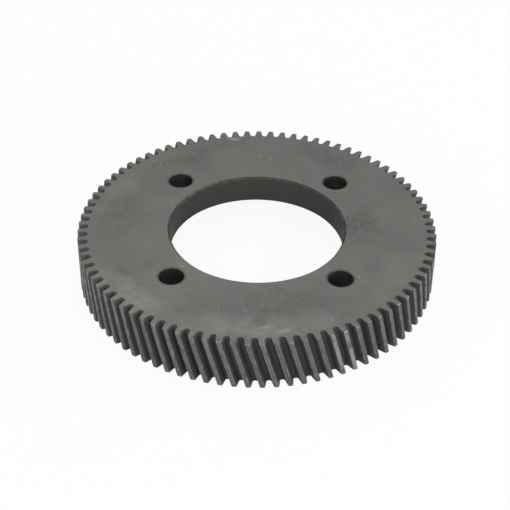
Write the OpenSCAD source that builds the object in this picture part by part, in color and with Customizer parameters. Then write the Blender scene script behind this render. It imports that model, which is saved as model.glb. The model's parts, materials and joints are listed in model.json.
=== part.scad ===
// Helical drive gear, one piece of blackened steel: a toothed rim round a
// thinner web, which is bored for its hub and drilled for four bolts.
// It lies on the underside of its rim, with the origin in the middle of that
// ring and +Z along the axis of rotation. All lengths are in millimetres.

/* [Teeth] */
// Number of teeth round the rim
teeth = 85; // [78:1:110]
// Module, measured square to the teeth
module_n = 2; // [1.9:0.05:2.5]
// Pressure angle, measured square to the teeth
pressure_a = 13; // [12:0.5:22]
// Lean of the teeth from the axis, left-hand when positive
helix_a = 15; // [-25:1:25]
// Height of a tooth above the pitch circle, in modules
addendum_k = 1; // [0.8:0.05:1.1]
// Depth of the gap below the pitch circle, in modules
dedendum_k = 1.45; // [1.2:0.05:1.5]
// Play between this gear and its mate, taken off the teeth at the pitch circle
backlash = 0.1; // [0:0.02:0.3]
// Angle from +X to the middle of a tooth, on the top face
first_tooth_a = 1; // [0:0.1:4]
// Broken edge at both ends of the teeth
tooth_chamfer = 0.2; // [0.1:0.1:0.8]

/* [Rim and web] */
// Face width of the rim, from end to end of the teeth
rim_w = 26.5; // [20:0.5:40]
// Radial thickness of the rim, from the bottom of the gaps to the recess
rim_t = 11; // [7:0.5:16]
// Thickness of the web, measured down from the top face
web_t = 15; // [8:0.5:20]
// Radius of the corner between web and rim, down in the recess
recess_fillet_r = 2.5; // [1:0.5:3]
// Broken edge round the mouth of the recess
recess_chamfer = 1; // [0.5:0.5:2]

/* [Bore and bolts] */
// Diameter of the bore
bore_d = 88; // [60:1:100]
// Broken edge at both ends of the bore
bore_chamfer = 1; // [0.2:0.1:1.5]
// Number of bolt holes
bolts = 4; // [3:1:12]
// Diameter of each bolt hole
bolt_d = 12.5; // [6:0.5:16]
// Distance from the wall of the bore to the middle of a bolt hole
bolt_inset = 13.5; // [10:0.5:15]
// Broken edge at both ends of a bolt hole
bolt_chamfer = 0.5; // [0.2:0.1:1]

/* [Hidden] */

steel = "#6f6f6d";

// Sizes of the teeth in the plane of rotation
module_t = module_n / cos(helix_a);
pressure_t = atan(tan(pressure_a) / cos(helix_a));
pitch_r = teeth * module_t / 2;
base_r = pitch_r * cos(pressure_t);
tip_r = pitch_r + addendum_k * module_n;
root_r = pitch_r - dedendum_k * module_n;
gap_a = 180 / teeth;
play_a = asin(backlash / cos(helix_a) / 2 / pitch_r);
turn_per_mm = tan(helix_a) / pitch_r * 180 / PI;

// Places that follow from the sizes above
recess_r = root_r - rim_t;
web_z = rim_w - web_t;
bolt_circle_r = bore_d / 2 + bolt_inset;
first_bolt_a = 180 / bolts;

// How finely the teeth are drawn, and how far a cut runs past what it cuts
flank_steps = 5;
gullet_steps = 4;
helix_slices = 2;
fillet_steps = 6;
past = 0.5;
$fn = 180;

// Angle between the radius and the flank, where the flank passes radius r
function flank_lean(r) = acos(min(1, base_r / r));

// The involute of an angle, given in degrees
function involute(a) = tan(a) * 180 / PI - a;

// Angle from the middle of a tooth to its flank at radius r
function half_tooth(r) = gap_a / 2 - play_a + involute(pressure_t) - involute(flank_lean(r));

// Angle from the middle of a gap to the flank at radius r
function half_gap(r) = gap_a - half_tooth(r);

// Slope of the flank at radius r against the middle line of the gap
function gap_slope(r) = half_gap(r) + flank_lean(r);

// Radius of the round floor that meets a flank drawn on from radius r
function gullet_r(r) =
    let (slope = gap_slope(r),
         floor_x = r * sin(half_gap(r)) - (r * cos(half_gap(r)) - root_r) * tan(slope))
    floor_x * cos(slope) / (1 - sin(slope));

// Radius at which that round floor touches the flank
function touch_r(r) =
    let (slope = gap_slope(r), g = gullet_r(r))
    norm([g * cos(slope), root_r + g * (1 - sin(slope))]);

// The same after a few turns, which settle it
function settled_touch_r(r, turns = 4) = turns == 0 ? r : settled_touch_r(touch_r(r), turns - 1);

flank_foot_r = settled_touch_r(root_r + module_n / 2);
foot_slope = gap_slope(flank_foot_r);
floor_r = gullet_r(flank_foot_r);

function polar(r, a) = [r * cos(a), r * sin(a)];

// One gap and the flanks on both sides of it, with the gap's middle at angle 0
function flank_points(side) = [
    for (i = [0:flank_steps])
        let (r = tip_r + past - (tip_r + past - flank_foot_r) * i / flank_steps)
        polar(r, side * half_gap(r))
];
function floor_points() = [
    for (i = [1:gullet_steps - 1])
        let (a = (90 - foot_slope) * (2 * i / gullet_steps - 1))
        [root_r + floor_r * (1 - cos(a)), floor_r * sin(a)]
];
function reversed(points) = [for (i = [len(points) - 1:-1:0]) points[i]];
gap_outline = concat(flank_points(-1), floor_points(), reversed(flank_points(1)));

function turned(points, a) = [
    for (p = points) [p.x * cos(a) - p.y * sin(a), p.x * sin(a) + p.y * cos(a)]
];

// Outline of the whole toothed ring, gap by gap
gear_outline = [for (k = [0:teeth - 1]) each turned(gap_outline, (k + 0.5) * 360 / teeth)];

// The corner between web and rim, round as the lathe tool leaves it
recess_corner = [
    for (i = [0:fillet_steps])
        [recess_r - recess_fillet_r, web_z - recess_fillet_r]
            + polar(recess_fillet_r, 90 - 90 * i / fillet_steps)
];

// The blank as it comes off the lathe, before its teeth are cut
module turned_blank() {
    bore_r = bore_d / 2;
    under_web = [
        [bore_r, web_z + bore_chamfer],
        [bore_r + bore_chamfer, web_z]
    ];
    round_rim = [
        [recess_r, recess_chamfer],
        [recess_r + recess_chamfer, 0],
        [tip_r - tooth_chamfer, 0],
        [tip_r, tooth_chamfer],
        [tip_r, rim_w - tooth_chamfer],
        [tip_r - tooth_chamfer, rim_w]
    ];
    over_web = [
        [bore_r + bore_chamfer, rim_w],
        [bore_r, rim_w - bore_chamfer]
    ];
    rotate_extrude()
        polygon(concat(under_web, recess_corner, round_rim, over_web));
}

// A prism with the teeth's cross section, twisted along the helix so that its
// teeth reach their place on the top face
module toothed_prism() {
    height = rim_w + 2 * past;
    rotate(first_tooth_a + (rim_w + past) * turn_per_mm)
        translate([0, 0, -past])
            linear_extrude(height = height, twist = height * turn_per_mm, slices = helix_slices)
                polygon(gear_outline);
}

module bolt_hole() {
    rotate_extrude()
        polygon([
            [0, web_z - past],
            [bolt_d / 2 + bolt_chamfer + past, web_z - past],
            [bolt_d / 2, web_z + bolt_chamfer],
            [bolt_d / 2, rim_w - bolt_chamfer],
            [bolt_d / 2 + bolt_chamfer + past, rim_w + past],
            [0, rim_w + past]
        ]);
}

// The blank with its bolt holes drilled
module drilled_blank() {
    difference() {
        turned_blank();
        for (k = [0:bolts - 1])
            rotate(first_bolt_a + k * 360 / bolts)
                translate([bolt_circle_r, 0, 0])
                    bolt_hole();
    }
}

module drive_gear() {
    color(steel)
        intersection() {
            drilled_blank();
            toothed_prism();
        }
}

drive_gear();
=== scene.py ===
import json
from math import acos, atan, atan2, cos, hypot, pi, radians, sin, tan

import bmesh
import bpy
from mathutils import Matrix, Vector
from mathutils.geometry import delaunay_2d_cdt


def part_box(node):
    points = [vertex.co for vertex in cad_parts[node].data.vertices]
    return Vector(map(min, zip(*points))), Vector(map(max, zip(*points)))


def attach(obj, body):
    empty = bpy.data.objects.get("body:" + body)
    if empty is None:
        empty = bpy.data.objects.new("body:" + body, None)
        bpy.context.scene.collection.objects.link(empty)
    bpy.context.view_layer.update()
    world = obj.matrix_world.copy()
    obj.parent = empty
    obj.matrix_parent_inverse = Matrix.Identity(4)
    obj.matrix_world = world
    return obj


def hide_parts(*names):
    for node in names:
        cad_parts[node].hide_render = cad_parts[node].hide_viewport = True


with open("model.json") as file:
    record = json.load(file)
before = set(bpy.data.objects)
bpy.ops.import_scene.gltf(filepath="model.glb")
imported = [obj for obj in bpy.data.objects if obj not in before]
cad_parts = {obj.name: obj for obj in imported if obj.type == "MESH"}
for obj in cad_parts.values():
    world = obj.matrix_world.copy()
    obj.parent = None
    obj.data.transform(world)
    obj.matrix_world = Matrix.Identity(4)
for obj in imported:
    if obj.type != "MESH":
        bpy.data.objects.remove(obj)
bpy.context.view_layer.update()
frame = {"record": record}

# The teeth. The rim of the steel blank is hobbed: a cutter of the gear's own module rolls round it
# and leaves involute flanks that lean with the helix, with a round floor between each pair.
# The land on top of every tooth is what is left of the turned outside of the blank.
mm = 0.001
low_corner, high_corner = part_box("drive_gear")
rim_w = (high_corner.z - low_corner.z) / mm
teeth = 85
module = 2.0
pressure = radians(13)
helix = radians(15)
addendum = 1.0 * module
dedendum = 1.45 * module
backlash = 0.1
first_tooth = radians(1.0)

# Every edge of a tooth is broken: by tooth_chamfer at the ends of its land, by edge_break along the
# land's sides, and by floor_break at both ends of the floor of a gap. The wear of an edge fades out over
# edge_zone, and a strip as narrow as crisp beside an edge keeps it crisp in smooth shading.
tooth_chamfer = 0.2
edge_break = 0.14
floor_break = 0.26
edge_zone = 0.35
crisp = 0.04

pitch_a = 2 * pi / teeth
pitch_r = teeth * module / cos(helix) / 2
tip_r = pitch_r + addendum
root_r = pitch_r - dedendum
shoulder_r = tip_r - tooth_chamfer
transverse_pressure = atan(tan(pressure) / cos(helix))
base_r = pitch_r * cos(transverse_pressure)
turn_per_mm = tan(helix) / pitch_r


def flank_lean(r):
    """Angle between the radius and the flank."""
    return acos(min(1, base_r / r))


def half_tooth(r):
    """Angle from the middle of a tooth to its flank."""
    lean = flank_lean(r)
    involute = tan(transverse_pressure) - transverse_pressure - tan(lean) + lean
    return pitch_a / 4 - backlash / cos(helix) / 2 / pitch_r + involute


def floor_circle(r):
    """Radius of the round floor that meets a flank drawn on from r, and the flank's slope there."""
    half_gap = pitch_a / 2 - half_tooth(r)
    slope = half_gap + flank_lean(r)
    reach = r * sin(half_gap) - (r * cos(half_gap) - root_r) * tan(slope)
    return reach * cos(slope) / (1 - sin(slope)), slope


# A few turns settle the radius at which the floor touches the flank.
settling_turns = 4
foot_r = root_r + module / 2
for _ in range(settling_turns):
    floor_r, foot_slope = floor_circle(foot_r)
    foot_r = hypot(floor_r * cos(foot_slope), root_r + floor_r * (1 - sin(foot_slope)))

flank_steps = 8
floor_steps = 6
gap_look_at_edge = 0.3
gap_look_below_edge = 0.8


def half_outline():
    """The outline from the middle of a land to the middle of the next gap.

    Each point holds its radius and angle, and how far it looks like a worn edge, a land and a gap.
    """
    land_a = half_tooth(tip_r) - edge_break / tip_r
    flank_top = tip_r - edge_break
    unworn_top = flank_top - edge_zone
    points = [
        (tip_r, 0, 0, 1, 0),
        (tip_r, land_a - edge_zone / tip_r, 0, 1, 0),
        (tip_r, land_a, 1, 1, 0),
        (flank_top, half_tooth(flank_top), 1, 0, gap_look_at_edge),
        (unworn_top, half_tooth(unworn_top), 0, 0, gap_look_below_edge),
    ]
    for i in range(1, flank_steps + 1):
        r = unworn_top + (foot_r - unworn_top) * i / flank_steps
        points.append((r, half_tooth(r), 0, 0, 1))
    for i in range(1, floor_steps + 1):
        a = (pi / 2 - foot_slope) * (1 - i / floor_steps)
        x = root_r + floor_r * (1 - cos(a))
        y = floor_r * sin(a)
        points.append((hypot(x, y), pitch_a / 2 - atan2(y, x), 0, 0, 1))
    return points


one_side = half_outline()
outline = [(r, -a, *looks) for r, a, *looks in reversed(one_side[1:])] + one_side


def polar(r, a, z=0.0):
    return Vector((r * cos(a), r * sin(a), z))


def outline_point(i):
    """The place of one point of the outline, which runs on into the next tooth past either end."""
    teeth_on, k = divmod(i, len(outline) - 1)
    r, a, *_ = outline[k]
    return polar(r, a + teeth_on * pitch_a)


def outward(i):
    """The way out of the metal at one point of the outline, square to it."""
    along = (outline_point(i + 1) - outline_point(i - 1)).normalized()
    return Vector((along.y, -along.x, 0))


# The broken edge round the end of a tooth is at its widest from two thirds of the way down to the
# floor of the gap. It has the most wear at the tip, and the darkest oxide and painted shade at the floor.
widening = 1.5
floor_wear = 0.2
tip_oxide_and_shade = 0.4


def end_rows(i):
    """One column of the tooth's broken end edge, from the flat face out to the wall.

    Each row holds a point, its depth under the flat face, and how far it looks like a worn edge, a land,
    a gap and dark oxide with painted shade.
    """
    r, a, wear, land, gap = outline[i]
    radial = polar(1, a)
    out = outward(i)
    inward = -out
    if r > shoulder_r:
        out -= radial * out.dot(radial)
        inward = -out - radial
    sunk = min(1, max(0, widening * (shoulder_r - r) / (shoulder_r - root_r)))
    break_here = edge_break + (floor_break - edge_break) * sunk
    flat = polar(min(r, shoulder_r), a) - out * break_here
    depth = max(break_here, r - shoulder_r)
    worn = 1 - (1 - floor_wear) * sunk
    oxide_and_shade = tip_oxide_and_shade + (1 - tip_oxide_and_shade) * sunk
    return [
        (flat + inward * crisp, 0, 0, 0, 0, 0),
        (flat, 0, worn, 0, 0, oxide_and_shade),
        (polar(r, a), depth, worn, land, gap, oxide_and_shade),
        (polar(r, a), depth + crisp, wear, land, gap, 0),
    ]


def on_helix(p, z, tooth=0):
    """A point of one tooth's outline where that tooth lies at height z."""
    turned = (rim_w - z) * turn_per_mm + first_tooth + tooth * pitch_a
    return Matrix.Rotation(turned, 3, "Z") @ p + Vector((0, 0, z))


side_steps = 10


def tooth_columns():
    """The columns of one tooth from gap to gap, each from the top face down to the underside."""
    columns = []
    for i, (r, a, *looks) in enumerate(outline):
        end = end_rows(i)
        near = end[-1][1] + edge_zone
        side = [near + (rim_w - 2 * near) * k / side_steps for k in range(side_steps + 1)]
        rows = [(p, rim_w - d, *end_looks) for p, d, *end_looks in end]
        rows += [(polar(r, a), rim_w - d, *looks, 0) for d in side]
        rows += [(p, d, *end_looks) for p, d, *end_looks in reversed(end)]
        columns.append([(on_helix(p, z), row_looks) for p, z, *row_looks in rows])
    return columns


def finished_mesh(name, bm):
    """Turns millimetres into metres and makes the mesh an object at the origin."""
    bmesh.ops.scale(bm, vec=(mm, mm, mm), verts=bm.verts)
    mesh = bpy.data.meshes.new(name)
    bm.to_mesh(mesh)
    bm.free()
    piece = bpy.data.objects.new(name, mesh)
    bpy.context.scene.collection.objects.link(piece)
    return piece


shortest_edge = 1e-4
bm = bmesh.new()
layers = [bm.verts.layers.float.new(name) for name in ("worn_edge", "land", "tooth_gap", "dark_oxide_and_shade")]
columns = []
for column in tooth_columns():
    verts = []
    for point, looks in column:
        v = bm.verts.new(point)
        for layer, amount in zip(layers, looks):
            v[layer] = amount
        verts.append(v)
    columns.append(verts)
for left, here in zip(columns, columns[1:]):
    for k in range(len(here) - 1):
        bm.faces.new((left[k], left[k + 1], here[k + 1], here[k]))
bmesh.ops.dissolve_degenerate(bm, dist=shortest_edge, edges=bm.edges)
one_tooth = finished_mesh("one_tooth", bm)

# The web. It is turned from the same blank: faced flush with the rim on top, cut back underneath,
# bored for the hub and drilled for its bolts. The bore's edges have an even chamfer, and the mouths
# of the bolt holes a shallow countersink.
mounts = {m["name"]: m for m in frame["record"]["mounts"]}
bore_r = mounts["bore"]["dims"]["r_mm"]
bolts = mounts["hub_bolts"]["dims"]
bolt_r = bolts["hole_r_mm"]
bolt_circle_r = bolts["pcd_mm"] / 2
web_z = mounts["hub_seat"]["pos_m"][2] / mm
bore_chamfer = 1.0
countersink_w = 0.9
countersink_depth = 0.42
rim_t = 11.0
recess_r = root_r - rim_t
recess_fillet = 2.5
recess_chamfer = 1.0
recess_mouth_r = recess_r + recess_chamfer
bolt_places = [polar(bolt_circle_r, (k + 0.5) * 2 * pi / bolts["count"]) for k in range(bolts["count"])]

# How dark the oxide and the painted shade are in each hole and on its broken edges, and how worn those
# edges are.
bore_oxide_and_shade = 0.65
bore_chamfer_oxide_and_shade = 0.9
bolt_oxide_and_shade = 0.7
countersink_oxide_and_shade = 0.6
recess_oxide_and_shade = 0.3
mouth_wear = 0.15
wall_wear = 0.1
recess_mouth_wear = 0.3

# A lip as narrow as this, of the flat face or the wall beside a broken edge, keeps that edge crisp too.
lip = 0.06
round_steps = 360
hole_steps = 72
fillet_steps = 8


def circle(r, z, steps, centre=Vector((0, 0, 0))):
    return [centre + polar(r, 2 * pi * k / steps, z) for k in range(steps)]


def turned_wall(bm, rows, steps, centre=Vector((0, 0, 0))):
    """Joins circles, each to the next down the wall, with faces that look into the hole.

    Each circle's row holds its radius and height, how dark its oxide and painted shade are and how worn
    its edge.
    """
    dark_oxide_and_shade, worn_edge = (bm.verts.layers.float[name] for name in ("dark_oxide_and_shade", "worn_edge"))
    rings = []
    for r, z, oxide_and_shade, wear in rows:
        ring = [bm.verts.new(p) for p in circle(r, z, steps, centre)]
        for v in ring:
            v[dark_oxide_and_shade] = oxide_and_shade
            v[worn_edge] = wear
        rings.append(ring)
    for upper, lower in zip(rings, rings[1:]):
        for k in range(steps):
            n = (k + 1) % steps
            bm.faces.new((upper[k], upper[n], lower[n], lower[k]))


def through_hole(r, chamfer_w, chamfer_depth, chamfer_oxide_and_shade, wall_oxide_and_shade):
    """The rows of a hole through the web, from the top face down to the web's underside."""
    mouth = [
        (r + chamfer_w + lip, 0, 0, 0),
        (r + chamfer_w, 0, chamfer_oxide_and_shade, mouth_wear),
        (r, chamfer_depth, chamfer_oxide_and_shade, wall_wear),
        (r, chamfer_depth + lip, wall_oxide_and_shade, 0),
    ]
    top = [(radius, rim_w - depth, *looks) for radius, depth, *looks in mouth]
    foot = [(radius, web_z + depth, *looks) for radius, depth, *looks in reversed(mouth)]
    return top + foot


def fillet_row(a):
    """A row of the round corner between web and rim, where the angle is 0 on the web."""
    r = recess_r - recess_fillet * (1 - sin(a))
    z = web_z - recess_fillet * (1 - cos(a))
    return r, z, recess_oxide_and_shade * sin(a), 0


def mouths(z):
    """The edges of the bore and the bolt holes on one face of the web."""
    bolt_mouth_r = bolt_r + countersink_w + lip
    bore_mouth = circle(bore_r + bore_chamfer + lip, z, round_steps)
    return [bore_mouth] + [circle(bolt_mouth_r, z, hole_steps, place) for place in bolt_places]


def rim_loop(z):
    """The loop in which one flat face of the rim ends at the broken edges of the teeth."""
    flat_points = [end_rows(i)[0][0] for i in range(len(outline) - 1)]
    return [on_helix(p, z, tooth) for tooth in range(teeth) for p in flat_points]


def flat_face(bm, outer, holes, looks_up):
    """Fills the flat face between an outer loop and its round holes."""
    loops = [outer] + holes
    points = [p for loop in loops for p in loop]
    edges = []
    start = 0
    for loop in loops:
        edges += [(start + k, start + (k + 1) % len(loop)) for k in range(len(loop))]
        start += len(loop)
    fill_inside = 1
    same_place = 1e-6
    flat, _, faces, *_ = delaunay_2d_cdt([p.xy for p in points], edges, [], fill_inside, same_place)
    z = outer[0].z
    verts = [bm.verts.new((p.x, p.y, z)) for p in flat]
    rounds = []
    for loop in holes:
        centre = sum(loop, Vector()) / len(loop)
        rounds.append((centre.xy, (loop[0] - centre).xy.length))
    for face in faces:
        middle = sum((flat[k] for k in face), Vector((0, 0))) / len(face)
        if not any((middle - centre).length < r for centre, r in rounds):
            order = face if looks_up else list(reversed(face))
            bm.faces.new([verts[k] for k in order])


bm = bmesh.new()
for name in ("dark_oxide_and_shade", "worn_edge"):
    bm.verts.layers.float.new(name)
bore = through_hole(bore_r, bore_chamfer, bore_chamfer, bore_chamfer_oxide_and_shade, bore_oxide_and_shade)
turned_wall(bm, bore, round_steps)
recess_corner = [fillet_row(pi / 2 * k / fillet_steps) for k in range(fillet_steps + 1)]
recess_mouth = [
    (recess_r, recess_chamfer, recess_oxide_and_shade, 0),
    (recess_mouth_r, 0, recess_oxide_and_shade, recess_mouth_wear),
    (recess_mouth_r + lip, 0, 0, 0),
]
turned_wall(bm, recess_corner + recess_mouth, round_steps)
bolt_hole = through_hole(bolt_r, countersink_w, countersink_depth, countersink_oxide_and_shade, bolt_oxide_and_shade)
for place in bolt_places:
    turned_wall(bm, bolt_hole, hole_steps, place)
flat_face(bm, rim_loop(rim_w), mouths(rim_w), looks_up=True)
flat_face(bm, circle(recess_r - recess_fillet, web_z, round_steps), mouths(web_z), looks_up=False)
flat_face(bm, rim_loop(0), [circle(recess_mouth_r + lip, 0, round_steps)], looks_up=False)
web = finished_mesh("turned_web", bm)

# The finish. Hot oil-blackened steel: a thin dark oxide over machined metal, dull and faintly mottled
# where oil has dried on it, and bare on the edges that other parts have rubbed.


def linear(hex_code):
    """An sRGB hex colour as linear red, green, blue and alpha."""
    parts = [int(hex_code[k:k + 2], 16) / 255 for k in (1, 3, 5)]
    return [c / 12.92 if c < 0.04045 else ((c + 0.055) / 1.055) ** 2.4 for c in parts] + [1]


def add_node(tree, kind, settings=None, links=None):
    """Adds a node, sets its properties or unlinked inputs, and links its inputs to other sockets."""
    node = tree.nodes.new(kind)
    for name, value in (settings or {}).items():
        if isinstance(name, str) and hasattr(node, name):
            setattr(node, name, value)
        else:
            node.inputs[name].default_value = value
    for name, socket in (links or {}).items():
        tree.links.new(socket, node.inputs[name])
    return node


blackened_steel = bpy.data.materials.new("oil_blackened_steel")
blackened_steel.use_nodes = True
steel = blackened_steel.node_tree
shader = steel.nodes["Principled BSDF"]
shader.inputs["Metallic"].default_value = 0.85
on_gear = add_node(steel, "ShaderNodeTexCoord").outputs["Object"]


def blotches(size_mm, low, high, strength=1.0, within=None):
    """Blotches of one size, from 0 where noise is below low to their strength where it is above high.

    Where another amount is given, they show within it alone.
    """
    noise = add_node(steel, "ShaderNodeTexNoise", {"Scale": 1 / (size_mm * mm), "Detail": 2.0},
                     {"Vector": on_gear})
    amount = add_node(steel, "ShaderNodeMapRange", {
        "From Min": low, "From Max": high, "To Max": strength}, {"Value": noise.outputs["Fac"]})
    if within is None:
        return amount.outputs[0]
    both = add_node(steel, "ShaderNodeMath", {"operation": "MULTIPLY"}, {0: amount.outputs[0], 1: within})
    return both.outputs[0]


def marks(rows, where):
    """The sum of some soft oval marks on the top face.

    Each row holds the middle of a mark, its half length and its half width, all in mm, then the angle
    at which it lies and its strength.
    """
    depth = 5
    total = None
    for x, y, long, short, lie, strength in rows:
        at = add_node(steel, "ShaderNodeMapping", {
            "vector_type": "TEXTURE", "Location": (x * mm, y * mm, rim_w * mm),
            "Rotation": (0, 0, radians(lie)), "Scale": (long * mm, short * mm, depth * mm)},
            {"Vector": where})
        oval = add_node(steel, "ShaderNodeTexGradient", {"gradient_type": "SPHERICAL"},
                        {"Vector": at.outputs[0]})
        added = add_node(steel, "ShaderNodeMath", {
            "operation": "MULTIPLY_ADD", "use_clamp": True, 1: strength, 2: 0.0},
            {0: oval.outputs["Fac"]})
        if total:
            steel.links.new(total, added.inputs[2])
        total = added.outputs[0]
    return total


# Oil has dried in dark and pale smudges, whose edges a noise pulls about so that they are ragged.
# The scuffs are small and keep their oval shape.
ragged_mm = 14
pull_mm = 30
noise = add_node(steel, "ShaderNodeTexNoise", {"Scale": 1 / (ragged_mm * mm), "Detail": 3.0},
                 {"Vector": on_gear})
centred = add_node(steel, "ShaderNodeVectorMath", {"operation": "SUBTRACT", 1: (0.5, 0.5, 0.5)},
                   {0: noise.outputs["Color"]})
pull = add_node(steel, "ShaderNodeVectorMath", {
    "operation": "MULTIPLY", 1: (pull_mm * mm, pull_mm * mm, 0)}, {0: centred.outputs[0]})
pulled = add_node(steel, "ShaderNodeVectorMath", {"operation": "ADD"}, {0: on_gear, 1: pull.outputs[0]})
dark_smudges = marks([
    (54, 3, 20, 13, 80, 1.2), (38, 64, 24, 11, -22, 0.9), (-36, 63, 34, 11, 38, 0.8),
    (12, -62, 42, 11, 3, 0.9), (2, -52, 22, 6, 0, 0.6), (-68, 12, 30, 10, 80, 0.6),
    (-59, -38, 10, 8, 0, 0.6)], pulled.outputs[0])
pale_smudges = marks([
    (-70, 36, 30, 8, 62, 0.8), (-58, -58, 40, 12, -45, 1.0), (0, -79, 55, 9, 0, 1.0),
    (66, -42, 34, 14, 58, 0.5)], pulled.outputs[0])
scuffs = marks([
    (-14, 81.5, 5, 1.8, -12, 1.6), (1, 65, 1.8, 1.0, 0, 1.4), (5, -77.5, 6, 1.8, 18, 1.3),
    (13, -80, 6, 2.2, 22, 1.3), (-36, -33, 1.4, 1.0, 0, 1.4), (37, -36, 2, 0.8, 20, 1.2)], on_gear)

worn_edge, dark_oxide_and_shade, tooth_gap, land, rubbed = (
    add_node(steel, "ShaderNodeAttribute", {"attribute_name": name}).outputs["Fac"]
    for name in ("worn_edge", "dark_oxide_and_shade", "tooth_gap", "land", "rubbed"))
turned_land = add_node(steel, "ShaderNodeMath", {"operation": "MULTIPLY", 1: 0.8}, {0: land})
rubbed_land = add_node(steel, "ShaderNodeMath", {"operation": "MULTIPLY", "use_clamp": True},
                       {0: land, 1: rubbed})
dusty_areas = blotches(15, 0.48, 0.6)
bare = blotches(2.5, 0.4, 0.68, within=worn_edge)

# The colours over the plain oxide. Each lies over those before it, by its own amount.
tints = [
    ("#6f6f6b", blotches(26, 0.35, 0.65)),  # warmer oxide
    ("#6a6e62", blotches(13, 0.42, 0.75, strength=0.6)),  # greenish film of oil
    ("#585957", blotches(3, 0.1, 0.7, within=dark_smudges)),  # dried oil
    ("#85847b", blotches(2.5, 0.1, 0.8, within=pale_smudges)),  # wiped oil
    ("#7f7f7c", blotches(0.7, 0.5, 0.8, strength=0.5)),  # grain of the oxide
    ("#c9c5ba", blotches(1.2, 0.70, 0.76, within=dusty_areas)),  # specks of dust
    ("#8b8a85", blotches(2.2, 0.3, 0.5, within=scuffs)),  # scuffed oxide
    ("#c0beb6", blotches(0.8, 0.62, 0.7, within=scuffs)),  # metal in the scuffs
    ("#696b69", tooth_gap),  # hobbed flanks and floors
    ("#424340", dark_oxide_and_shade),  # thicker oxide and painted shade in the holes and on broken edges
    ("#6d706f", turned_land.outputs[0]),  # turned lands
    ("#afaea9", blotches(6, 0.3, 0.6, within=rubbed_land.outputs[0])),  # rubbed lands
    ("#a9a7a0", bare),  # metal on worn edges
]
colour = add_node(steel, "ShaderNodeRGB").outputs[0]
colour.default_value = linear("#6a6b6a")
for tint, amount in tints:
    laid_over = add_node(steel, "ShaderNodeMix", {"data_type": "RGBA", 7: linear(tint)},
                         {0: amount, 6: colour})
    colour = laid_over.outputs[2]
steel.links.new(colour, shader.inputs["Base Color"])

# Oil makes the oxide less rough here and there. The hobbed gaps are rougher, and bare edges smoother.
dry_roughness = 0.56
oiled_roughness = 0.46
gap_roughness = 0.22
bare_polish = 0.15
oiled = add_node(steel, "ShaderNodeMapRange", {"To Min": dry_roughness, "To Max": oiled_roughness},
                 {"Value": blotches(18, 0.35, 0.65)})
hobbed = add_node(steel, "ShaderNodeMath", {"operation": "MULTIPLY_ADD", 1: gap_roughness},
                  {0: tooth_gap, 2: oiled.outputs[0]})
polished = add_node(steel, "ShaderNodeMath", {"operation": "MULTIPLY_ADD", 1: -bare_polish},
                    {0: bare, 2: hobbed.outputs[0]})
steel.links.new(polished.outputs[0], shader.inputs["Roughness"])

# Turning leaves rings about 0.2 mm apart, and the blackening leaves pits as fine. Both are too fine
# to show in the render, so they are drawn as coarse as they need to be.
turning_mm = 0.9
pit_mm = 0.8
relief_mm = 0.012
from_axis = add_node(steel, "ShaderNodeVectorMath", {"operation": "MULTIPLY", 1: (1, 1, 0)}, {0: on_gear})
radius = add_node(steel, "ShaderNodeVectorMath", {"operation": "LENGTH"}, {0: from_axis.outputs[0]})
turning = add_node(steel, "ShaderNodeTexNoise", {
    "noise_dimensions": "1D", "Scale": 1 / (turning_mm * mm), "Detail": 2.0},
    {"W": radius.outputs["Value"]})
height = add_node(steel, "ShaderNodeMath", {"operation": "ADD"},
                  {0: turning.outputs["Fac"], 1: blotches(pit_mm, 0.0, 1.0)})
bump = add_node(steel, "ShaderNodeBump", {"Strength": 0.65, "Distance": relief_mm * mm},
                {"Height": height.outputs[0]})
steel.links.new(bump.outputs[0], shader.inputs["Normal"])

# The gear as one piece. Teeth and web are one block of steel, so the tooth is repeated round the web
# and welded to it. Two teeth side by side at the front have been rubbed on their lands, and the
# others hardly. Counted from the first, that pair is 0 and 1, within pair_reach of pair_middle.
first_rubbed_tooth = 69
pair_middle = 0.5
pair_reach = 0.6
hardly_rubbed = 0.3
rub_seed = 5
weld_distance = 2e-6
crease = radians(28)

ring = bpy.data.node_groups.new("teeth_round_web", "GeometryNodeTree")
ring.interface.new_socket("Geometry", in_out="INPUT", socket_type="NodeSocketGeometry")
sockets = {}
for name, kind in (("Tooth", "NodeSocketObject"), ("Teeth", "NodeSocketInt"),
                   ("First Rubbed Tooth", "NodeSocketInt"), ("Seed", "NodeSocketInt"),
                   ("Weld Distance", "NodeSocketFloat"), ("Finish", "NodeSocketMaterial")):
    sockets[name] = ring.interface.new_socket(name, in_out="INPUT", socket_type=kind).identifier
ring.interface.new_socket("Geometry", in_out="OUTPUT", socket_type="NodeSocketGeometry")
given = add_node(ring, "NodeGroupInput")
tooth = add_node(ring, "GeometryNodeObjectInfo", links={"Object": given.outputs["Tooth"]})
places = add_node(ring, "GeometryNodePoints", links={"Count": given.outputs["Teeth"]})
number = add_node(ring, "GeometryNodeInputIndex")
step = add_node(ring, "ShaderNodeMath", {"operation": "DIVIDE", 0: 2 * pi}, {1: given.outputs["Teeth"]})
angle = add_node(ring, "ShaderNodeMath", {"operation": "MULTIPLY"},
                 {0: number.outputs[0], 1: step.outputs[0]})
turn = add_node(ring, "ShaderNodeCombineXYZ", links={"Z": angle.outputs[0]})
copies = add_node(ring, "GeometryNodeInstanceOnPoints", links={
    "Points": places.outputs[0], "Instance": tooth.outputs["Geometry"], "Rotation": turn.outputs[0]})
past_first = add_node(ring, "ShaderNodeMath", {"operation": "SUBTRACT"},
                      {0: number.outputs[0], 1: given.outputs["First Rubbed Tooth"]})
in_pair = add_node(ring, "ShaderNodeMath", {"operation": "COMPARE", 1: pair_middle, 2: pair_reach},
                   {0: past_first.outputs[0]})
chance = add_node(ring, "FunctionNodeRandomValue", {"data_type": "FLOAT", 2: 0.0, 3: hardly_rubbed},
                  {"Seed": given.outputs["Seed"]})
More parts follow.
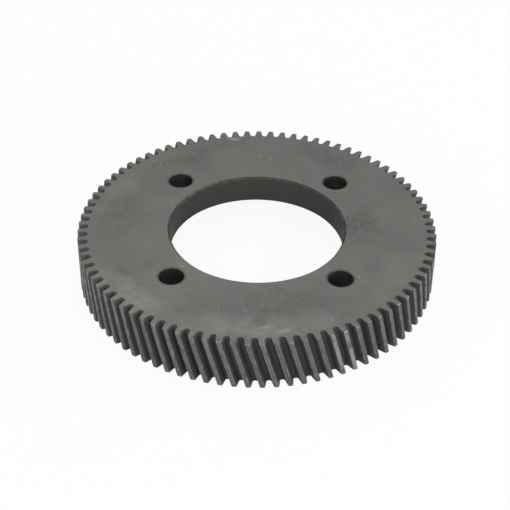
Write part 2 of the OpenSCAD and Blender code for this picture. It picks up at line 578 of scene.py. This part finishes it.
rubbing = add_node(ring, "ShaderNodeMath", {"operation": "ADD"},
                   {0: chance.outputs[1], 1: in_pair.outputs[0]})
noted = add_node(ring, "GeometryNodeStoreNamedAttribute", {
    "domain": "INSTANCE", "data_type": "FLOAT", "Name": "rubbed"},
    {"Geometry": copies.outputs[0], "Value": rubbing.outputs[0]})
joined = add_node(ring, "GeometryNodeJoinGeometry", links={"Geometry": noted.outputs[0]})
ring.links.new(given.outputs["Geometry"], joined.inputs["Geometry"])
real = add_node(ring, "GeometryNodeRealizeInstances", links={"Geometry": joined.outputs[0]})
welded = add_node(ring, "GeometryNodeMergeByDistance", links={
    "Geometry": real.outputs[0], "Distance": given.outputs["Weld Distance"]})
finished = add_node(ring, "GeometryNodeSetMaterial", links={
    "Geometry": welded.outputs[0], "Material": given.outputs["Finish"]})
add_node(ring, "NodeGroupOutput", links={"Geometry": finished.outputs[0]})

modifier = web.modifiers.new("teeth_round_web", "NODES")
modifier.node_group = ring
modifier[sockets["Tooth"]] = one_tooth
modifier[sockets["Teeth"]] = teeth
modifier[sockets["First Rubbed Tooth"]] = first_rubbed_tooth
modifier[sockets["Seed"]] = rub_seed
modifier[sockets["Weld Distance"]] = weld_distance
modifier[sockets["Finish"]] = blackened_steel
settled = bpy.context.evaluated_depsgraph_get()
mesh = bpy.data.meshes.new_from_object(web.evaluated_get(settled))
gear = bpy.data.objects.new("helical_gear", mesh)
bpy.context.scene.collection.objects.link(gear)
for made_from in (web, one_tooth):
    bpy.data.objects.remove(made_from)
for face in mesh.polygons:
    face.use_smooth = True
mesh.set_sharp_from_angle(angle=crease)
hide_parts("drive_gear")
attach(gear, "root")

# The floor. A pale sheet of paper under the gear, matt, which takes the gear's shadow. The camera
# sees nearly all of it as a plain white glow, and the metal reflects that glow only faintly.
floor_reach = 3.0
white_to_camera = 0.93
white_to_metal = 0.15
white_to_glass = 0.85

floor_mesh = bpy.data.meshes.new("floor")
corners = [(x * floor_reach, y * floor_reach, 0) for x, y in ((-1, -1), (1, -1), (1, 1), (-1, 1))]
floor_mesh.from_pydata(corners, [], [(0, 1, 2, 3)])
floor = bpy.data.objects.new("floor", floor_mesh)
bpy.context.scene.collection.objects.link(floor)
white_paper = bpy.data.materials.new("white_paper")
white_paper.use_nodes = True
paper = white_paper.node_tree
path = add_node(paper, "ShaderNodeLightPath")
matt = paper.nodes["Principled BSDF"]
matt.inputs["Roughness"].default_value = 0.9
paper_white = add_node(paper, "ShaderNodeMix", {
    "data_type": "RGBA", 6: linear("#e0e0e0"), 7: linear("#ffffff")}, {0: path.outputs["Is Camera Ray"]})
paper.links.new(paper_white.outputs[2], matt.inputs["Base Color"])
glow = add_node(paper, "ShaderNodeEmission", {"Strength": 1.0})
to_camera = add_node(paper, "ShaderNodeMath", {"operation": "MULTIPLY", 1: white_to_camera},
                     {0: path.outputs["Is Camera Ray"]})
to_metal = add_node(paper, "ShaderNodeMath", {"operation": "MULTIPLY_ADD", 1: white_to_metal},
                    {0: path.outputs["Is Glossy Ray"], 2: to_camera.outputs[0]})
to_glass = add_node(paper, "ShaderNodeMath", {"operation": "MULTIPLY_ADD", 1: white_to_glass},
                    {0: path.outputs["Is Transmission Ray"], 2: to_metal.outputs[0]})
mixed = add_node(paper, "ShaderNodeMixShader", links={
    0: to_glass.outputs[0], 1: matt.outputs[0], 2: glow.outputs[0]})
paper.links.new(mixed.outputs[0], paper.nodes["Material Output"].inputs["Surface"])
floor.data.materials.append(white_paper)

# The light. An even pale room, which the camera sees as white. A broad soft box hangs above the back
# of the gear, a small weak one to its left, and a low row round the front and right shows the teeth.
light_in_room = 0.45
light_in_metal = 0.55
lamp_distance = 1.1

world = bpy.data.worlds.new("studio")
bpy.context.scene.world = world
world.use_nodes = True
room = world.node_tree
air = room.nodes["Background"]
air.inputs["Color"].default_value = linear("#ffffff")
path = add_node(room, "ShaderNodeLightPath")
white = add_node(room, "ShaderNodeMath", {"operation": "MAXIMUM"},
                 {0: path.outputs["Is Camera Ray"], 1: path.outputs["Is Transmission Ray"]})
dim = add_node(room, "ShaderNodeMapRange", {"To Min": light_in_room, "To Max": light_in_metal},
               {"Value": path.outputs["Is Glossy Ray"]})
level = add_node(room, "ShaderNodeMath", {"operation": "MAXIMUM"},
                 {0: white.outputs[0], 1: dim.outputs[0]})
room.links.new(level.outputs[0], air.inputs["Strength"])


def soft_lamp(name, azimuth, height, size, power):
    """A soft box on a circle round the gear, aimed at its middle."""
    lamp = bpy.data.lights.new(name, "AREA")
    lamp.shape = "RECTANGLE"
    lamp.size, lamp.size_y = size
    lamp.energy = power
    out = radians(azimuth)
    up = radians(height)
    holder = bpy.data.objects.new(name, lamp)
    holder.location = lamp_distance * Vector((cos(up) * cos(out), cos(up) * sin(out), sin(up)))
    holder.rotation_euler = (-holder.location).to_track_quat("-Z", "Y").to_euler()
    bpy.context.scene.collection.objects.link(holder)


soft_lamp("overhead", 90, 60, (0.8, 0.8), 2.6)
soft_lamp("back_left", 135, 38, (0.5, 0.5), 0.8)
soft_lamp("front_left", 225, 20, (0.8, 0.6), 2.6)
soft_lamp("front", 270, 20, (0.8, 0.6), 0.6)
soft_lamp("front_right", 315, 20, (0.8, 0.6), 4.1)
soft_lamp("right", 0, 20, (0.8, 0.6), 2.6)

# The camera. It looks down on the gear from the front, a little turned and tilted, as in the
# photograph: the middle of the top face falls on a known place in its 510 by 510 frame.
frame_px = 510
focal_px = 1355.9
top_middle_px = (257.0, 226.85)
camera_distance = 0.6828
camera_height_a = radians(36.28)
camera_turn = radians(0.303)
camera_roll = radians(0.591)
sensor_mm = 36.0

top_middle = Vector((0, 0, rim_w * mm))
away = Matrix.Rotation(camera_turn, 3, "Z") @ Vector((0, -cos(camera_height_a), sin(camera_height_a)))
ahead = -away
across = Matrix.Rotation(camera_turn, 3, "Z") @ Vector((1, 0, 0))
down = ahead.cross(across)
level_view = Matrix((across, down, ahead))
aim = Vector((top_middle_px[0] - frame_px / 2, top_middle_px[1] - frame_px / 2, focal_px))
pan = Matrix.Rotation(atan2(aim.x, aim.z), 3, "Y")
tilt = Matrix.Rotation(-atan2(aim.y, hypot(aim.x, aim.z)), 3, "X")
roll = Matrix.Rotation(camera_roll, 3, "Z")
view_right, view_down, view_ahead = pan @ tilt @ roll @ level_view
camera_data = bpy.data.cameras.new("camera")
camera_data.sensor_width = sensor_mm
camera_data.lens = focal_px / frame_px * sensor_mm
camera = bpy.data.objects.new("camera", camera_data)
axes = Matrix((view_right, -view_down, -view_ahead)).transposed()
camera.matrix_world = Matrix.Translation(top_middle + away * camera_distance) @ axes.to_4x4()
bpy.context.scene.collection.objects.link(camera)
bpy.context.scene.camera = camera

bpy.context.scene.view_settings.view_transform = "Standard"
